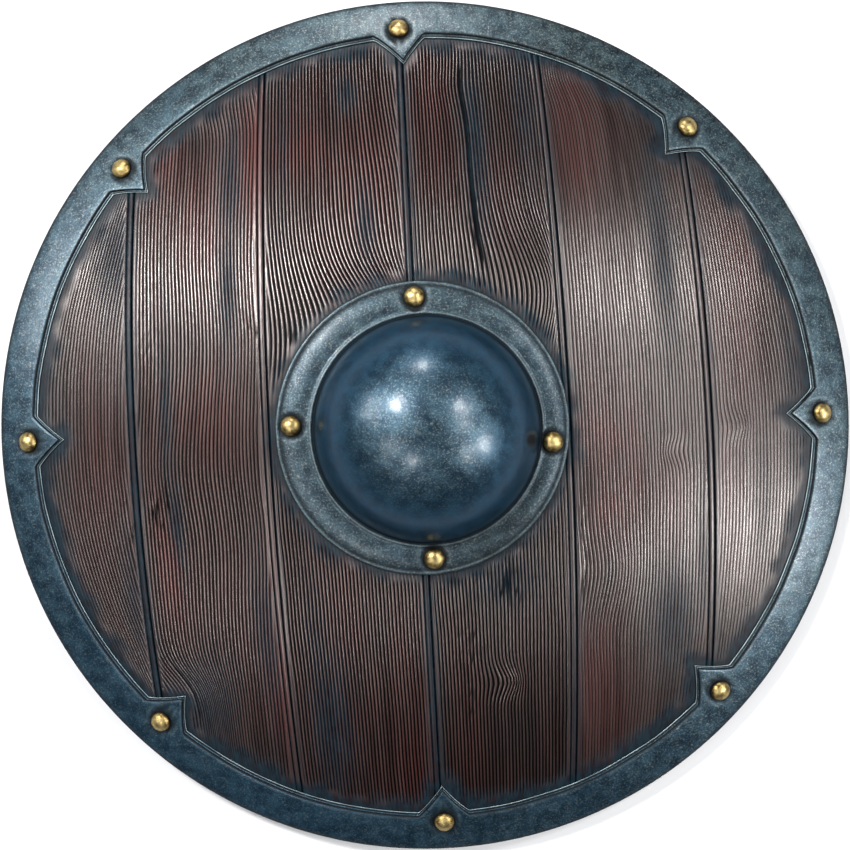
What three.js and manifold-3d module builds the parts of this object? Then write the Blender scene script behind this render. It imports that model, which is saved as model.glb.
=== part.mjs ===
// A round wooden shield, lying on its back with its face up (+Z). Six stave-shaped planks make a
// gently domed board. An iron rim folds round the board's edge and reaches inward in eight pointed
// cusps, each held by a domed brass rivet. A hollow iron boss covers the hand hole in the middle,
// on four more rivets. Behind, a grip batten crosses the hand hole between two plain cross battens.
// Millimetres. The origin is the centre of the flat foot under the rim. The planks run along Y.
import * as THREE from "three";
import { mergeVertices } from "three/addons/utils/BufferGeometryUtils.js";
import Module from "manifold-3d";

const wasm = await Module();
wasm.setup();

// ---- Driving dimensions ----
const SHIELD_RADIUS = 300;
const GAP = 0.4; // left between pieces that touch
const SIDES = 60; // of every circle as wide as the shield

const FACE_CURVE = 720; // radius of the domed face of the board
const BOARD_THICKNESS = 10;
const SEAM_GAP = 0.5;
const SEAMS = [-200.8, -106.3, -3.1, 99.1, 198.4]; // where the plank joints cross Y = 0

const RIM_PLATE = 2.4; // iron on the face and round the edge
const RIM_LIP = 1.8; // iron folded over the back
const RIM_FOOT = 2; // iron under the board's lowest edge
const RIM_INNER_RADIUS = 274.5;
const LIP_INNER_RADIUS = 271;
const EDGE_CHAMFER = 1;
const CUSP_TIP_RADIUS = 255;
const CUSP_HALF_ANGLE = 3.75;

const RIM_RIVET_CIRCLE = 277.8;
const BOSS_RIVET_CIRCLE = 88.7;
// Each rivet's place, and its bearing in degrees from +X: the smith set them out by eye.
const RIM_RIVETS = [
  ["right", -1.25],
  ["upper_right", 45.65],
  ["top", 90.84],
  ["upper_left", 136.84],
  ["left", 179.45],
  ["lower_left", 225.29],
  ["bottom", 269.8],
  ["lower_right", 315.04],
];
const BOSS_RIVETS = [
  ["right", -9.1],
  ["top", 90.6],
  ["left", 176.2],
  ["bottom", 272.3],
];

const RIVET_HEAD_RADIUS = 7;
const RIVET_HEAD_HEIGHT = 4.8;
const RIVET_SHANK_RADIUS = 2.5;
const RIVET_TAIL_RADIUS = 4;
const RIVET_TAIL_HEIGHT = 1.8;
const RIVET_SIDES = 10;
const HOLE_SIDES = 8;

const DOME_RADIUS = 76.5;
const DOME_HEIGHT = 62; // above the board's face
const BOSS_WALL = 2.4;
const FLANGE_RADIUS = 100.2;
const FLANGE_THICKNESS = 3.2;
const DOME_CENTRE = new THREE.Vector2(1.2, -3); // the dome was raised a little off its flange's middle
const FLANGE_CENTRE = new THREE.Vector2(-1.9, -1.8);
const BOSS_SIDES = 40;

const HAND_HOLE_RADIUS = 62;
const GRIP_LINE = -5; // Y of the grip's centre line
const GRIP = { halfLength: 250, width: 44, thickness: 12, barWidth: 31, barThickness: 25 };
const CROSS_BATTENS = [
  ["upper_cross_batten", 148],
  ["lower_cross_batten", -152],
];
const CROSS_BATTEN = { halfLength: 196, width: 34, thickness: 9 };

// ---- Values worked out from them ----
const BACK_CURVE = FACE_CURVE - BOARD_THICKNESS;
const BOARD_RADIUS = SHIELD_RADIUS - RIM_PLATE - GAP;
const CURVE_CENTRE_Z = RIM_FOOT + GAP - Math.sqrt(BACK_CURVE ** 2 - BOARD_RADIUS ** 2);
const PLATE_CURVE = FACE_CURVE + GAP + RIM_PLATE;
const LIP_CURVE = BACK_CURVE - GAP - RIM_LIP;

const { lerp, smoothstep, degToRad } = THREE.MathUtils;

// Height, at a distance from the shield's axis, of a sphere about the board's centre of curvature.
function domeZ(curve, radius) {
  return Math.sqrt(curve ** 2 - radius ** 2) + CURVE_CENTRE_Z;
}

function polar(radius, degrees) {
  const angle = degToRad(degrees);
  return new THREE.Vector2(radius * Math.cos(angle), radius * Math.sin(angle));
}

// ---- Solids ----
function solidOf(geometry) {
  const bare = geometry.clone();
  bare.deleteAttribute("normal");
  bare.deleteAttribute("uv");
  const merged = mergeVertices(bare, 1e-3);
  return new wasm.Manifold(
    new wasm.Mesh({
      numProp: 3,
      vertProperties: merged.attributes.position.array,
      triVerts: new Uint32Array(merged.index.array),
    }),
  );
}

function geometryOf(solid) {
  const { vertProperties, triVerts } = solid.getMesh();
  const geometry = new THREE.BufferGeometry();
  geometry.setAttribute("position", new THREE.BufferAttribute(new Float32Array(vertProperties), 3));
  geometry.setIndex(new THREE.BufferAttribute(new Uint32Array(triVerts), 1));
  geometry.computeVertexNormals();
  return geometry;
}

// A profile of [radius, height] pairs turned about Z.
function turned(profile, sides) {
  const points = profile.map(([radius, height]) => new THREE.Vector2(radius, height));
  return new THREE.LatheGeometry(points, sides).rotateX(Math.PI / 2);
}

function uprightCylinder(radius, height, sides) {
  return new THREE.CylinderGeometry(radius, radius, height, sides).rotateX(Math.PI / 2);
}

// Moves every vertex of a geometry by a function that changes the vector it is given.
function reshaped(geometry, move) {
  const position = geometry.attributes.position;
  const point = new THREE.Vector3();
  for (let i = 0; i < position.count; i++) {
    point.fromBufferAttribute(position, i);
    move(point);
    position.setXYZ(i, point.x, point.y, point.z);
  }
  return geometry;
}

// ---- Rivets ----
// The frame of a rivet: at its place on the board's face, with +Z square to the face.
function rivetSeat({ x, y }) {
  const spot = new THREE.Vector3(x, y, domeZ(FACE_CURVE, Math.hypot(x, y)));
  const outward = spot.clone().sub(new THREE.Vector3(0, 0, CURVE_CENTRE_Z)).normalize();
  const turn = new THREE.Quaternion().setFromUnitVectors(new THREE.Vector3(0, 0, 1), outward);
  return { spot, turn };
}

const rimSeats = RIM_RIVETS.map(([, bearing]) => rivetSeat(polar(RIM_RIVET_CIRCLE, bearing)));
const bossSeats = BOSS_RIVETS.map(([, bearing]) =>
  rivetSeat(polar(BOSS_RIVET_CIRCLE, bearing).add(FLANGE_CENTRE)),
);

// A domed head above `front`, a shank, and a hammered tail below `back`, both counted from the face.
function rivetGeometry(front, back) {
  const profile = [[0, back - RIVET_TAIL_HEIGHT]];
  profile.push([RIVET_TAIL_RADIUS, back], [RIVET_SHANK_RADIUS, back]);
  profile.push([RIVET_SHANK_RADIUS, front], [RIVET_HEAD_RADIUS, front]);
  for (const degrees of [10, 42, 90]) {
    const angle = degToRad(degrees);
    const radius = degrees === 90 ? 0 : RIVET_HEAD_RADIUS * Math.cos(angle);
    profile.push([radius, front + RIVET_HEAD_HEIGHT * Math.sin(angle)]);
  }
  return turned(profile, RIVET_SIDES);
}

const HOLE_LENGTH = 90;
const rivetHoles = [...rimSeats, ...bossSeats]
  .map(({ spot, turn }) => {
    const hole = uprightCylinder(RIVET_SHANK_RADIUS + GAP, HOLE_LENGTH, HOLE_SIDES);
    return solidOf(hole.applyQuaternion(turn).translate(spot.x, spot.y, spot.z));
  })
  .reduce((all, hole) => all.add(hole));

// ---- Board ----
// The planks narrow towards their ends as staves do, so that their joints follow the dome.
function staveTaper(y) {
  return Math.sqrt(1 - (y / FACE_CURVE) ** 2);
}

function plankGeometry(left, right) {
  const slab = new THREE.BoxGeometry(1, 2 * SHIELD_RADIUS, 1, 4, 20, 1);
  reshaped(slab, (point) => {
    point.x = lerp(left, right, point.x + 0.5) * staveTaper(point.y);
    const curve = lerp(BACK_CURVE, FACE_CURVE, point.z + 0.5);
    point.z = domeZ(curve, Math.hypot(point.x, point.y));
  });
  const disc = solidOf(uprightCylinder(BOARD_RADIUS, SHIELD_RADIUS, SIDES));
  const hole = uprightCylinder(HAND_HOLE_RADIUS, SHIELD_RADIUS, BOSS_SIDES);
  const handHole = solidOf(hole.translate(DOME_CENTRE.x, DOME_CENTRE.y, 0));
  return geometryOf(solidOf(slab).intersect(disc).subtract(handHole).subtract(rivetHoles));
}

// ---- Rim ----
// The edge of the iron on the board's face: arcs between eight cusps that point at the middle.
function rimOpening() {
  const outline = new THREE.Shape();
  const points = [];
  RIM_RIVETS.forEach(([, bearing], i) => {
    const next = i + 1 < RIM_RIVETS.length ? RIM_RIVETS[i + 1][1] : RIM_RIVETS[0][1] + 360;
    const start = bearing + CUSP_HALF_ANGLE;
    const end = next - CUSP_HALF_ANGLE;
    const steps = Math.round(((end - start) * SIDES) / 360);
    points.push(polar(CUSP_TIP_RADIUS, bearing));
    for (let k = 0; k <= steps; k++) {
      points.push(polar(RIM_INNER_RADIUS, lerp(start, end, k / steps)));
    }
  });
  return outline.setFromPoints(points);
}

function rimGeometry() {
  const plateInner = CUSP_TIP_RADIUS - 3;
  const plateTop = [SHIELD_RADIUS - EDGE_CHAMFER, 278, plateInner];
  const plateUnder = [plateInner, 270, 286, BOARD_RADIUS + GAP];
  const lip = [BOARD_RADIUS + GAP, LIP_INNER_RADIUS];
  const footInner = Math.sqrt(LIP_CURVE ** 2 - CURVE_CENTRE_Z ** 2);
  const section = [
    [SHIELD_RADIUS, 0],
    [SHIELD_RADIUS, domeZ(PLATE_CURVE, SHIELD_RADIUS) - EDGE_CHAMFER],
    ...plateTop.map((radius) => [radius, domeZ(PLATE_CURVE, radius)]),
    ...plateUnder.map((radius) => [radius, domeZ(FACE_CURVE + GAP, radius)]),
    ...lip.map((radius) => [radius, domeZ(BACK_CURVE - GAP, radius)]),
    [LIP_INNER_RADIUS, domeZ(LIP_CURVE, LIP_INNER_RADIUS)],
    [footInner, 0],
    [SHIELD_RADIUS, 0],
  ];
  const openingFloor = (domeZ(BACK_CURVE, LIP_INNER_RADIUS) + domeZ(FACE_CURVE, RIM_INNER_RADIUS)) / 2;
  const opening = new THREE.ExtrudeGeometry(rimOpening(), { depth: 60, bevelEnabled: false });
  const ring = solidOf(turned(section, SIDES));
  const cut = solidOf(opening.translate(0, 0, openingFloor));
  return geometryOf(ring.subtract(cut).subtract(rivetHoles));
}

// ---- Boss ----
// The profile is [distance from the dome's centre, height above the board's face].
function bossProfile() {
  const flangeTop = GAP + FLANGE_THICKNESS;
  const innerRadius = DOME_RADIUS - BOSS_WALL;
  const profile = [[0, DOME_HEIGHT - BOSS_WALL]];
  for (const degrees of [68, 46, 26, 10]) {
    const angle = degToRad(degrees);
    const height = (DOME_HEIGHT - BOSS_WALL) * Math.sin(angle);
    profile.push([innerRadius * Math.cos(angle), height]);
  }
  profile.push([innerRadius, GAP], [FLANGE_RADIUS, GAP]);
  profile.push([FLANGE_RADIUS, flangeTop * 0.55], [FLANGE_RADIUS - 2.5, flangeTop]);
  profile.push([DOME_RADIUS + 1.2, flangeTop]);
  for (const degrees of [8, 22, 38, 55, 73]) {
    const angle = degToRad(degrees);
    profile.push([DOME_RADIUS * Math.cos(angle), DOME_HEIGHT * Math.sin(angle)]);
  }
  profile.push([0, DOME_HEIGHT]);
  return profile;
}

function bossGeometry() {
  const boss = turned(bossProfile(), BOSS_SIDES);
  reshaped(boss, (point) => {
    const spread = smoothstep(Math.hypot(point.x, point.y), DOME_RADIUS, FLANGE_RADIUS);
    const centre = DOME_CENTRE.clone().lerp(FLANGE_CENTRE, spread);
    point.x += centre.x;
    point.y += centre.y;
    point.z += domeZ(FACE_CURVE, Math.hypot(point.x, point.y));
  });
  return geometryOf(solidOf(boss).subtract(rivetHoles));
}

// ---- Battens ----
// A batten along X against the board's back. `section` gives, at a distance from the middle, its
// width, its thickness, and how square it is: 1 for a slab, 0 for a round bar.
function battenGeometry(line, halfLength, section, steps) {
  const bar = new THREE.CylinderGeometry(1, 1, 2 * halfLength, 8, steps);
  reshaped(bar, (point) => {
    const { width, thickness, square } = section(Math.abs(point.y));
    const reach = Math.max(Math.abs(point.x), Math.abs(point.z));
    const push = reach > 0 ? lerp(1, 1 / reach, square) : 1;
    const across = (-point.x * push * width) / 2 + line;
    const along = point.y;
    const top = domeZ(BACK_CURVE - GAP, Math.hypot(along, across));
    point.set(along, across, top - (thickness / 2) * (1 - point.z * push));
  });
  return geometryOf(solidOf(bar).subtract(rivetHoles));
}

function gripSection(distance) {
  const slab = smoothstep(distance, HAND_HOLE_RADIUS - 18, HAND_HOLE_RADIUS + 2);
  const end = smoothstep(distance, GRIP.halfLength - 140, GRIP.halfLength);
  return {
    width: lerp(GRIP.barWidth, GRIP.width, slab) * lerp(1, 0.7, end),
    thickness: lerp(GRIP.barThickness, GRIP.thickness, slab) * lerp(1, 0.6, end),
    square: lerp(0.2, 1, slab),
  };
}

function crossBattenSection(distance) {
  const end = smoothstep(distance, CROSS_BATTEN.halfLength - 40, CROSS_BATTEN.halfLength);
  return {
    width: CROSS_BATTEN.width,
    thickness: CROSS_BATTEN.thickness * lerp(1, 0.6, end),
    square: 1,
  };
}

// ---- Materials ----
const stainedOak = { color: 0x5d433d, roughness: 0.42, metalness: 0 };
const plainOak = { color: 0x6a4c3a, roughness: 0.65, metalness: 0 };
const bluedIron = { color: 0x3c5060, roughness: 0.4, metalness: 0.85 };
const brass = { color: 0xc8b682, roughness: 0.32, metalness: 1 };

function piece(name, geometry, finish) {
  const mesh = new THREE.Mesh(geometry, new THREE.MeshStandardMaterial(finish));
  mesh.name = name;
  return mesh;
}

function rivet(name, seat, front, back) {
  const mesh = piece(name, rivetGeometry(front, back), brass);
  mesh.position.copy(seat.spot);
  mesh.quaternion.copy(seat.turn);
  return mesh;
}

// ---- The shield ----
const shield = new THREE.Group();

const board = new THREE.Group();
const joints = [-SHIELD_RADIUS - 8, ...SEAMS, SHIELD_RADIUS + 8];
for (let i = 0; i + 1 < joints.length; i++) {
  const geometry = plankGeometry(joints[i] + SEAM_GAP / 2, joints[i + 1] - SEAM_GAP / 2);
  board.add(piece(`plank_${i + 1}`, geometry, stainedOak));
}
shield.add(board);

shield.add(piece("rim", rimGeometry(), bluedIron));
shield.add(piece("boss", bossGeometry(), bluedIron));

const grip = battenGeometry(GRIP_LINE, GRIP.halfLength, gripSection, 24);
shield.add(piece("grip_batten", grip, plainOak));
for (const [name, line] of CROSS_BATTENS) {
  const batten = battenGeometry(line, CROSS_BATTEN.halfLength, crossBattenSection, 12);
  shield.add(piece(name, batten, plainOak));
}

const rivets = new THREE.Group();
const underBoard = -BOARD_THICKNESS - GAP;
RIM_RIVETS.forEach(([place], i) => {
  const front = RIM_PLATE + 2 * GAP;
  const back = underBoard - RIM_LIP - GAP;
  rivets.add(rivet(`rim_rivet_${place}`, rimSeats[i], front, back));
});
BOSS_RIVETS.forEach(([place], i) => {
  const throughGrip = place === "left" || place === "right";
  const front = FLANGE_THICKNESS + 2 * GAP;
  const back = throughGrip ? underBoard - GRIP.thickness - GAP : underBoard;
  rivets.add(rivet(`boss_rivet_${place}`, bossSeats[i], front, back));
});
shield.add(rivets);

export default shield;
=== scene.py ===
"""A round wooden shield lying face up: six combed oak staves, a cusped iron rim, a hollow iron boss,
brass rivets, and a grip batten between two cross battens behind. Shapes are worked out in
millimetres and brought to metres as each piece is finished."""

import math

import bmesh
import bpy
from mathutils import Matrix, Vector, noise


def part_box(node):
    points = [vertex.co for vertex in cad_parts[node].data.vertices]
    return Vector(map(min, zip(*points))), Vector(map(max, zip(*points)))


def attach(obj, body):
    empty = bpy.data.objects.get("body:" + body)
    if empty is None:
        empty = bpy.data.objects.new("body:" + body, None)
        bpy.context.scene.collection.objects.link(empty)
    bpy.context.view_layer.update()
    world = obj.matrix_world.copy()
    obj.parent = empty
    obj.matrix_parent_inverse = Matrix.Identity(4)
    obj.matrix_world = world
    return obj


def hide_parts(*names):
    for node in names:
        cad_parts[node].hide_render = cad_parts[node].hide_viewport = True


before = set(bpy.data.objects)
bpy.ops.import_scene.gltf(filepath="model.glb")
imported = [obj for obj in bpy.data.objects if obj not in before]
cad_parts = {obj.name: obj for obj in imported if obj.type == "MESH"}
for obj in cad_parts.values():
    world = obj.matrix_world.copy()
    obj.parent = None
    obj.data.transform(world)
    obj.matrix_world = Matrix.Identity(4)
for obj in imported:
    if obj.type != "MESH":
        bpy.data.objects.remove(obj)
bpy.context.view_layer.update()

MM = 0.001

# ---- Sizes shared with the frame, in millimetres ----
GAP = 0.4
FACE_CURVE = 720.0
BOARD_THICKNESS = 10.0
BACK_CURVE = FACE_CURVE - BOARD_THICKNESS
SEAM_GAP = 0.5
RIM_PLATE = 2.4
RIM_LIP = 1.8
RIM_FOOT = 2.0
RIM_INNER_RADIUS = 274.5
LIP_INNER_RADIUS = 271.0
CUSP_TIP_RADIUS = 255.0
CUSP_HALF_ANGLE = 3.75
RIM_RIVET_CIRCLE = 277.8
BOSS_RIVET_CIRCLE = 88.7
DOME_RADIUS = 76.5
DOME_HEIGHT = 62.0
BOSS_WALL = 2.4
FLANGE_THICKNESS = 3.2
DOME_CENTRE = Vector((1.2, -3.0))
HAND_HOLE_RADIUS = 62.0
GRIP_LINE = -5.0
GRIP = {"half": 250.0, "width": 44.0, "thick": 12.0, "bar_width": 31.0, "bar_thick": 25.0}
CROSS_BATTEN = {"half": 196.0, "width": 34.0, "thick": 9.0}
RIVET_HEAD_RADIUS = 7.0
RIVET_HEAD_HEIGHT = 4.8
RIVET_SHANK_RADIUS = 2.5
RIVET_TAIL_RADIUS = 4.0
RIVET_TAIL_HEIGHT = 1.8


def node_box(node):
    """A node's lowest and highest corners in millimetres."""
    low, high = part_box(node)
    return low / MM, high / MM


SHIELD_RADIUS = node_box("rim")[1].x
BOARD_RADIUS = SHIELD_RADIUS - RIM_PLATE - GAP
CURVE_CENTRE_Z = RIM_FOOT + GAP - math.sqrt(BACK_CURVE**2 - BOARD_RADIUS**2)

boss_low, boss_high = node_box("boss")
FLANGE_CENTRE = ((boss_low + boss_high) / 2).to_2d()
FLANGE_RADIUS = (boss_high.x - boss_low.x) / 2

RIM_PLACES = (
    "right",
    "upper_right",
    "top",
    "upper_left",
    "left",
    "lower_left",
    "bottom",
    "lower_right",
)
BOSS_PLACES = ("right", "top", "left", "bottom")


def dome_z(curve, radius):
    """Height of a sphere about the board's centre of curvature, at a distance from the axis."""
    return math.sqrt(curve * curve - radius * radius) + CURVE_CENTRE_Z


def node_spot(node, circle, centre=Vector((0, 0))):
    """Where a rivet goes through the board: on its box's bearing, at its circle's radius."""
    low, high = node_box(node)
    outward = ((low + high) / 2).to_2d() - centre
    return centre + outward.normalized() * circle


rim_spots = {place: node_spot(f"rim_rivet_{place}", RIM_RIVET_CIRCLE) for place in RIM_PLACES}
boss_spots = {
    place: node_spot(f"boss_rivet_{place}", BOSS_RIVET_CIRCLE, FLANGE_CENTRE) for place in BOSS_PLACES
}


PAST_THE_EDGE = 2.0
LEFT_OF_MIDDLE = -50.0  # a joint below this X is read from the plank on its right


def joint_places():
    """Where the plank joints cross Y = 0, with a place just past the shield's edge at both ends.

    A plank is widest at Y = 0 on the side away from the middle, and its box is read there. The
    middle joint is read at its plank's narrow ends, which puts it 0.3 mm further right."""
    joints = [-SHIELD_RADIUS - PAST_THE_EDGE]
    for number in range(1, 6):
        left_plank_end = node_box(f"plank_{number}")[1].x
        right_plank_start = node_box(f"plank_{number + 1}")[0].x
        if right_plank_start < LEFT_OF_MIDDLE:
            joints.append(right_plank_start - SEAM_GAP / 2)
        else:
            joints.append(left_plank_end + SEAM_GAP / 2)
    return joints + [SHIELD_RADIUS + PAST_THE_EDGE]


# ---- Small maths ----
def lerp(a, b, t):
    return a + (b - a) * t


def smooth(t):
    t = min(1.0, max(0.0, t))
    return t * t * (3 - 2 * t)


def bell(x, width):
    return math.exp(-((x / width) ** 2))


def waver(x, y, seed):
    """Smooth noise between about -1 and 1."""
    return noise.noise(Vector((x, y, seed)))


def stave_taper(y):
    return math.sqrt(1 - (y / FACE_CURVE) ** 2)


BEARINGS = {place: math.atan2(spot.y, spot.x) for place, spot in rim_spots.items()}
# How far each cusp's tip leans from its rivet's bearing, in degrees.
TIP_LEANS = dict(zip(RIM_PLACES, (0.1, -0.25, -0.45, 0.2, -0.15, 0.2, -0.1, 0.25)))


def turn_between(a, b):
    """The signed angle from b to a, in radians."""
    return (a - b + math.pi) % (2 * math.pi) - math.pi


def rim_inner(angle):
    """Radius of the iron's inner edge on the face: an arc, broken by eight pointed cusps."""
    half = math.radians(CUSP_HALF_ANGLE)
    deepest = 0.0
    for place, bearing in BEARINGS.items():
        tip = bearing + math.radians(TIP_LEANS[place])
        away = turn_between(angle, tip)
        side = half + (bearing - tip if away > 0 else tip - bearing)
        along = 1 - abs(away) / side
        if along > 0:
            deepest = along**1.12
    return RIM_INNER_RADIUS - (RIM_INNER_RADIUS - CUSP_TIP_RADIUS) * deepest


def iron_distance(x, y):
    """Distance over the wood to the nearest iron, rim or flange, in millimetres."""
    radius = math.hypot(x, y)
    to_rim = rim_inner(math.atan2(y, x)) - radius
    if radius > 225:
        for place, bearing in BEARINGS.items():
            if abs(turn_between(math.atan2(y, x), bearing)) < 0.2:
                tip = Vector((math.cos(bearing), math.sin(bearing))) * (CUSP_TIP_RADIUS + 4)
                to_rim = min(to_rim, (Vector((x, y)) - tip).length - 2)
    to_flange = (Vector((x, y)) - FLANGE_CENTRE).length - FLANGE_RADIUS + 4
    return min(to_rim, to_flange)


# ---- Node materials ----
def new_material(name):
    """A material, its shader, and a maker of nodes that links any input given as a socket."""
    material = bpy.data.materials.new(name)
    material.use_nodes = True
    tree = material.node_tree
    shader = tree.nodes["Principled BSDF"]

    def node(kind, inputs=None, **settings):
        made = tree.nodes.new(kind)
        for key, value in settings.items():
            setattr(made, key, value)
        for key, value in (inputs or {}).items():
            plug(made.inputs[key], value)
        return made

    def plug(socket, value):
        if isinstance(value, bpy.types.NodeSocket):
            tree.links.new(value, socket)
        else:
            socket.default_value = value

    return material, shader, node, plug


def noise_of(node, coords, scale, detail, roughness=0.55, squeeze=(1, 1, 1)):
    """A noise value; squeeze stretches the pattern along an axis where it is under 1."""
    mapped = node("ShaderNodeMapping", {"Vector": coords, "Scale": squeeze})
    made = node(
        "ShaderNodeTexNoise",
        {"Vector": mapped.outputs[0], "Scale": scale, "Detail": detail, "Roughness": roughness},
    )
    return made.outputs["Fac"]


def ramp(node, value, low, high, to_low=0.0, to_high=1.0):
    """The value carried from low..high to to_low..to_high, clamped and eased."""
    made = node(
        "ShaderNodeMapRange",
        {"Value": value, "From Min": low, "From Max": high, "To Min": to_low, "To Max": to_high},
        interpolation_type="SMOOTHSTEP",
    )
    return made.outputs[0]


def blend(node, factor, first, second):
    """The first colour turned into the second by a factor from 0 to 1."""
    made = node("ShaderNodeMix", data_type="RGBA", blend_type="MIX")
    tree = made.id_data
    for socket, value in ((made.inputs[0], factor), (made.inputs[6], first), (made.inputs[7], second)):
        if isinstance(value, bpy.types.NodeSocket):
            tree.links.new(value, socket)
        else:
            socket.default_value = value
    return made.outputs[2]


def maths(node, operation, *values, clamp=False):
    made = node("ShaderNodeMath", operation=operation, use_clamp=clamp)
    for socket, value in zip(made.inputs, values):
        if isinstance(value, bpy.types.NodeSocket):
            made.id_data.links.new(value, socket)
        else:
            socket.default_value = value
    return made.outputs[0]


def bumped(node, heights):
    """A normal that carries several bumps, each (height, strength, distance in metres)."""
    normal = None
    for height, strength, distance in heights:
        inputs = {"Height": height, "Strength": strength, "Distance": distance}
        if normal:
            inputs["Normal"] = normal
        normal = node("ShaderNodeBump", inputs).outputs[0]
    return normal


def rgb(red, green, blue):
    """A colour from screen values 0 to 255, made linear, with its alpha."""
    linear = []
    for value in (red, green, blue):
        c = value / 255
        linear.append(c / 12.92 if c <= 0.04045 else ((c + 0.055) / 1.055) ** 2.4)
    return (*linear, 1.0)


def stained_oak():
    """Combed oak under a dark purple-brown stain, glazed blue-black beside the iron."""
    material, shader, node, plug = new_material("stained_oak")
    grain = node("ShaderNodeAttribute", attribute_name="grain").outputs["Vector"]
    tint = node("ShaderNodeAttribute", attribute_name="tint")
    groove, glaze, red = node(
        "ShaderNodeSeparateColor", {"Color": tint.outputs["Color"]}
    ).outputs[:3]
    tone = tint.outputs["Alpha"]

    streak = noise_of(node, grain, 0.16, 4, 0.6, (1, 0.05, 1))
    fibre = noise_of(node, grain, 1.5, 3, 0.7, (1, 0.06, 1))
    cloud = noise_of(node, grain, 0.022, 3, 0.5, (1, 0.5, 1))
    mottle = noise_of(node, grain, 0.25, 4, 0.65, (1, 0.4, 1))

    crest = blend(node, ramp(node, streak, 0.35, 0.68), rgb(48, 27, 24), rgb(72, 45, 40))
    crest = blend(node, maths(node, "MULTIPLY", red, 0.8), crest, rgb(112, 32, 25))
    crest = blend(node, ramp(node, cloud, 0.52, 0.72, 0, 0.55), crest, rgb(27, 28, 30))
    crest = blend(node, ramp(node, fibre, 0.3, 0.75, 0.3, 0), crest, rgb(14, 9, 9))
    crest = blend(node, tone, rgb(5, 3, 3), crest)
    # Painted shade: the grooves, splits and chip hollows are coloured near black, darker than the stain
    # alone.
    valley = blend(node, ramp(node, streak, 0.4, 0.7), rgb(3, 2, 2), rgb(6, 4, 4))
    stain_and_shade = blend(node, ramp(node, groove, 0.12, 0.62), crest, valley)
    blue_black = blend(node, ramp(node, mottle, 0.35, 0.65), rgb(4, 14, 22), rgb(15, 30, 38))
    patchy = maths(node, "MULTIPLY", glaze, ramp(node, mottle, 0.2, 0.6, 0.7, 1.1), clamp=True)
    stain_and_shade = blend(node, patchy, stain_and_shade, blue_black)
    plug(shader.inputs["Base Color"], stain_and_shade)

    roughness = ramp(node, streak, 0.3, 0.7, 0.22, 0.3)
    roughness = maths(node, "MULTIPLY_ADD", groove, 0.22, roughness)
    plug(shader.inputs["Roughness"], maths(node, "MULTIPLY_ADD", glaze, 0.14, roughness))
    gloss = ramp(node, groove, 0.1, 0.7, 0.95, 0.03)
    dulled = ramp(node, glaze, 0, 1, 1, 0.22)
    plug(shader.inputs["Specular IOR Level"], maths(node, "MULTIPLY", gloss, dulled))
    shader.inputs["Specular Tint"].default_value = (1.0, 0.93, 0.9, 1.0)
    bumps = ((fibre, 0.22, 0.00035), (mottle, 0.25, 0.0005))
    plug(shader.inputs["Normal"], bumped(node, bumps))
    return material


def plain_oak():
    """Plain oiled oak of the battens, planed and dulled by hands."""
    material, shader, node, plug = new_material("plain_oak")
    grain = node("ShaderNodeAttribute", attribute_name="grain").outputs["Vector"]
    streak = noise_of(node, grain, 0.22, 5, 0.62, (0.06, 1, 1))
    fibre = noise_of(node, grain, 1.7, 3, 0.7, (0.05, 1, 1))
    cloud = noise_of(node, grain, 0.03, 3, 0.5, (0.5, 1, 1))
    body = blend(node, ramp(node, streak, 0.33, 0.68), rgb(74, 50, 38), rgb(124, 92, 70))
    body = blend(node, ramp(node, fibre, 0.42, 0.75, 0.55, 0), body, rgb(44, 30, 24))
    body = blend(node, ramp(node, cloud, 0.5, 0.75, 0, 0.5), body, rgb(60, 50, 46))
    plug(shader.inputs["Base Color"], body)
    plug(shader.inputs["Roughness"], ramp(node, streak, 0.3, 0.7, 0.5, 0.66))
    plug(shader.inputs["Normal"], bumped(node, ((fibre, 0.4, 0.0004), (streak, 0.3, 0.0006))))
    return material


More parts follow.
